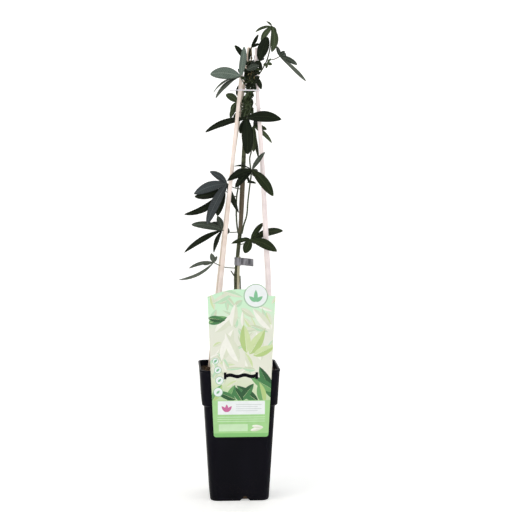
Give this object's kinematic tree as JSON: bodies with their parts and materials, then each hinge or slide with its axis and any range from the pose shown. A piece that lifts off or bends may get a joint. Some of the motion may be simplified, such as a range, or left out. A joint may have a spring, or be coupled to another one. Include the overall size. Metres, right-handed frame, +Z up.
{
  "type": "potted passion flower",
  "caption": "Young climbing plant with palmate leaves, tied to split canes in a tall square nursery pot with a label card.",
  "frame": {"origin": "middle of the pot's flat underside, on the surface it stands on", "axes": "+Z up along the pot's axis; the label card faces -Y; +X to the right seen from the front"},
  "size_m": [0.1978, 0.1337, 0.7358],
  "materials": {
    "pot": "moulded black polypropylene, satin",
    "compost": "damp fibrous compost",
    "card": "printed plastic card, satin",
    "cane": "split bamboo, dry",
    "tie": "white plastic strap",
    "splint": "weathered cane",
    "tape": "soft grey plastic tape",
    "stem": "woody green-brown stem",
    "foliage": "dark green leaf, satin",
    "foliage_grey": "grey-green leaf, satin",
    "foliage_blue": "blue-grey leaf, satin"
  },
  "bodies": {
    "root": {"pot": "pot", "soil": "compost", "label_card": "card", "cane_left": "cane", "cane_right": "cane", "cane_back": "cane", "cane_tie": "tie", "splint": "splint", "stem_tape": "tape", "main_stem": "stem", "side_stem_right": "stem", "side_stem_left": "stem", "foot_shoot": "stem", "leaf_grey": "foliage_grey", "leaf_crown_right": "foliage", "leaf_between_canes": "foliage", "leaf_bud": "foliage", "leaf_top": "foliage", "leaf_reach_right": "foliage_grey", "leaf_small_left": "foliage", "leaf_spread": "foliage", "leaf_behind_right": "foliage", "leaf_middle": "foliage", "leaf_blue": "foliage_blue", "leaf_shadow": "foliage", "leaf_low_left": "foliage", "leaf_lowest": "foliage", "leaf_right": "foliage", "leaf_back_high": "foliage", "leaf_back_middle": "foliage", "leaf_back_low": "foliage", "tangle_lower": "foliage", "tangle_upper": "foliage"}
  },
  "joints": []
}
